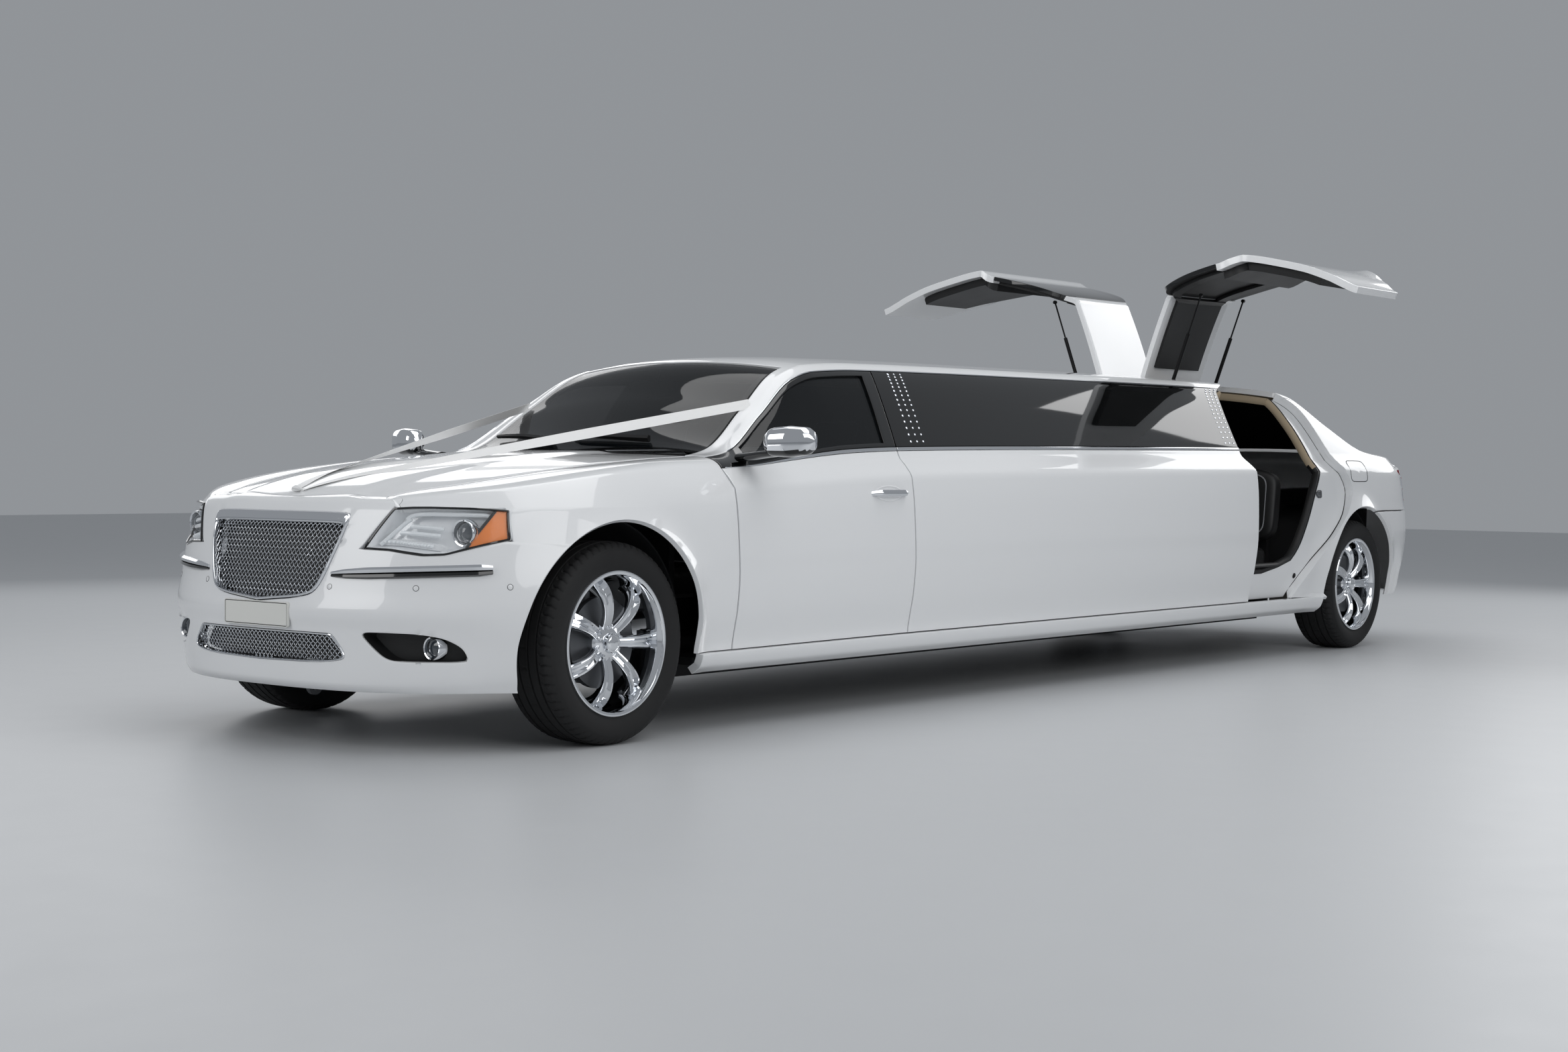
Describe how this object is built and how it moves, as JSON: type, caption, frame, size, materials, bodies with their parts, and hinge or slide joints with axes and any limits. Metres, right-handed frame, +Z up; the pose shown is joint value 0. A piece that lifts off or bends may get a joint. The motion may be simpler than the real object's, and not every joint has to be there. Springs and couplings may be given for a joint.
{
  "type": "stretch limousine",
  "caption": "Long white stretched saloon car with two raised gull doors behind a long dark side window, hinged front doors, hood and boot lid, and steered front wheels.",
  "frame": {"origin": "on the ground under the middle of the body's box", "axes": "+X forward along the car, +Y to its left, +Z up"},
  "size_m": [8.22, 2.928, 2.1415],
  "materials": {
    "white_paint": "gloss clear coat",
    "underbody_black": "satin underseal",
    "privacy_glass": "gloss black tint",
    "tinted_glass": "gloss tint",
    "chrome": "polished",
    "black_steel": "satin",
    "black_plastic": "grained",
    "black_leather": "grained",
    "tyre_rubber": "moulded",
    "cast_steel": "cast",
    "exhaust_steel": "drawn tube",
    "lamp_lens": "clear",
    "red_lens": "moulded lens",
    "satin_ribbon": "satin"
  },
  "bodies": {
    "body": {"floor_pan": "underbody_black", "sills": "white_paint", "side_panel_left": "white_paint", "side_panel_right": "white_paint", "front_fender_left": "white_paint", "front_fender_right": "white_paint", "quarter_panel_left": "white_paint", "quarter_panel_right": "white_paint", "roof": "white_paint", "front_bumper": "white_paint", "rear_bumper": "white_paint", "grilles": "chrome", "front_lamps": "lamp_lens", "tail_lamps": "red_lens", "windscreen": "tinted_glass", "rear_window": "tinted_glass", "side_glass": "privacy_glass", "dashboard": "black_plastic", "steering_wheel": "black_plastic", "front_seats": "black_leather", "lounge_seat": "black_leather", "rear_axle": "cast_steel", "front_subframe": "cast_steel", "engine": "cast_steel", "exhaust": "exhaust_steel", "wheel_liners": "black_plastic", "ribbons_rear": "satin_ribbon"},
    "hood": {"hood": "white_paint", "ribbons_front": "satin_ribbon"},
    "trunk_lid": {"trunk_lid": "white_paint"},
    "front_door_left": {"front_door_left": "white_paint", "door_glass_left": "tinted_glass", "mirror_left": "chrome"},
    "front_door_right": {"front_door_right": "white_paint", "door_glass_right": "tinted_glass", "mirror_right": "chrome"},
    "gull_door_left": {"gull_door_left": "white_paint", "gull_glass_left": "privacy_glass"},
    "gull_door_right": {"gull_door_right": "white_paint", "gull_glass_right": "privacy_glass"},
    "strut_tubes_left": {"strut_tubes_left": "black_steel"},
    "strut_tubes_right": {"strut_tubes_right": "black_steel"},
    "strut_rods_left": {"strut_rods_left": "black_steel"},
    "strut_rods_right": {"strut_rods_right": "black_steel"},
    "steer_left": {"knuckle_left": "cast_steel"},
    "steer_right": {"knuckle_right": "cast_steel"},
    "wheel_front_left": {"tyre_front_left": "tyre_rubber", "wheel_front_left": "chrome"},
    "wheel_front_right": {"tyre_front_right": "tyre_rubber", "wheel_front_right": "chrome"},
    "wheel_rear_left": {"tyre_rear_left": "tyre_rubber", "wheel_rear_left": "chrome"},
    "wheel_rear_right": {"tyre_rear_right": "tyre_rubber", "wheel_rear_right": "chrome"}
  },
  "joints": [
    {"name": "hood_hinge", "type": "hinge", "parent": "body", "child": "hood", "pos_m": [2.574, 0, 1.026], "axis": [0, -1, 0], "range_deg": [0, 60]},
    {"name": "trunk_hinge", "type": "hinge", "parent": "body", "child": "trunk_lid", "pos_m": [-3.347, 0, 1.138], "axis": [0, 1, 0], "range_deg": [0, 75]},
    {"name": "front_door_left_hinge", "type": "hinge", "parent": "body", "child": "front_door_left", "pos_m": [2.51, 0.939, 0.7], "axis": [0, 0, -1], "range_deg": [0, 68]},
    {"name": "gull_door_left_hinge", "type": "hinge", "parent": "body", "child": "gull_door_left", "pos_m": [-2.225, 0.126, 1.49655], "axis": [1, 0, 0], "range_deg": [-75, 0]},
    {"name": "strut_left_swing", "type": "hinge", "parent": "body", "child": "strut_tubes_left", "pos_m": [-2.225, 0.275, 1.43], "axis": [1, 0, 0], "range_deg": [-90.89, 0.5]},
    {"name": "strut_left_stroke", "type": "slide", "parent": "strut_tubes_left", "child": "strut_rods_left", "axis": [0, 0.3283, 0.9446], "range_m": [-0.15392, 0.001]},
    {"name": "steer_left_hinge", "type": "hinge", "parent": "body", "child": "steer_left", "pos_m": [3.225, 0.74, 0.364], "axis": [0, 0, 1], "range_deg": [-32, 32]},
    {"name": "wheel_front_left_spin", "type": "hinge", "parent": "steer_left", "child": "wheel_front_left", "pos_m": [3.225, 0.8, 0.364], "axis": [0, 1, 0], "continuous": true},
    {"name": "wheel_rear_left_spin", "type": "hinge", "parent": "body", "child": "wheel_rear_left", "pos_m": [-3.015, 0.8, 0.364], "axis": [0, 1, 0], "continuous": true},
    {"name": "front_door_right_hinge", "type": "hinge", "parent": "body", "child": "front_door_right", "pos_m": [2.51, -0.939, 0.7], "axis": [0, 0, 1], "range_deg": [0, 68]},
    {"name": "gull_door_right_hinge", "type": "hinge", "parent": "body", "child": "gull_door_right", "pos_m": [-2.225, -0.126, 1.49655], "axis": [-1, 0, 0], "range_deg": [-75, 0]},
    {"name": "strut_right_swing", "type": "hinge", "parent": "body", "child": "strut_tubes_right", "pos_m": [-2.225, -0.275, 1.43], "axis": [-1, 0, 0], "range_deg": [-90.89, 0.5]},
    {"name": "strut_right_stroke", "type": "slide", "parent": "strut_tubes_right", "child": "strut_rods_right", "axis": [0, -0.3283, 0.9446], "range_m": [-0.15392, 0.001]},
    {"name": "steer_right_hinge", "type": "hinge", "parent": "body", "child": "steer_right", "pos_m": [3.225, -0.74, 0.364], "axis": [0, 0, 1], "range_deg": [-32, 32]},
    {"name": "wheel_front_right_spin", "type": "hinge", "parent": "steer_right", "child": "wheel_front_right", "pos_m": [3.225, -0.8, 0.364], "axis": [0, 1, 0], "continuous": true},
    {"name": "wheel_rear_right_spin", "type": "hinge", "parent": "body", "child": "wheel_rear_right", "pos_m": [-3.015, -0.8, 0.364], "axis": [0, 1, 0], "continuous": true}
  ],
  "couplings": [
    {"joint": "strut_left_swing", "follows": "gull_door_left_hinge", "ratio": 1.2052},
    {"joint": "strut_left_stroke", "follows": "gull_door_left_hinge", "m_per_rad": 0.11682},
    {"joint": "strut_right_swing", "follows": "gull_door_right_hinge", "ratio": 1.2052},
    {"joint": "strut_right_stroke", "follows": "gull_door_right_hinge", "m_per_rad": 0.11682},
    {"joint": "steer_right_hinge", "follows": "steer_left_hinge", "ratio": 1}
  ]
}
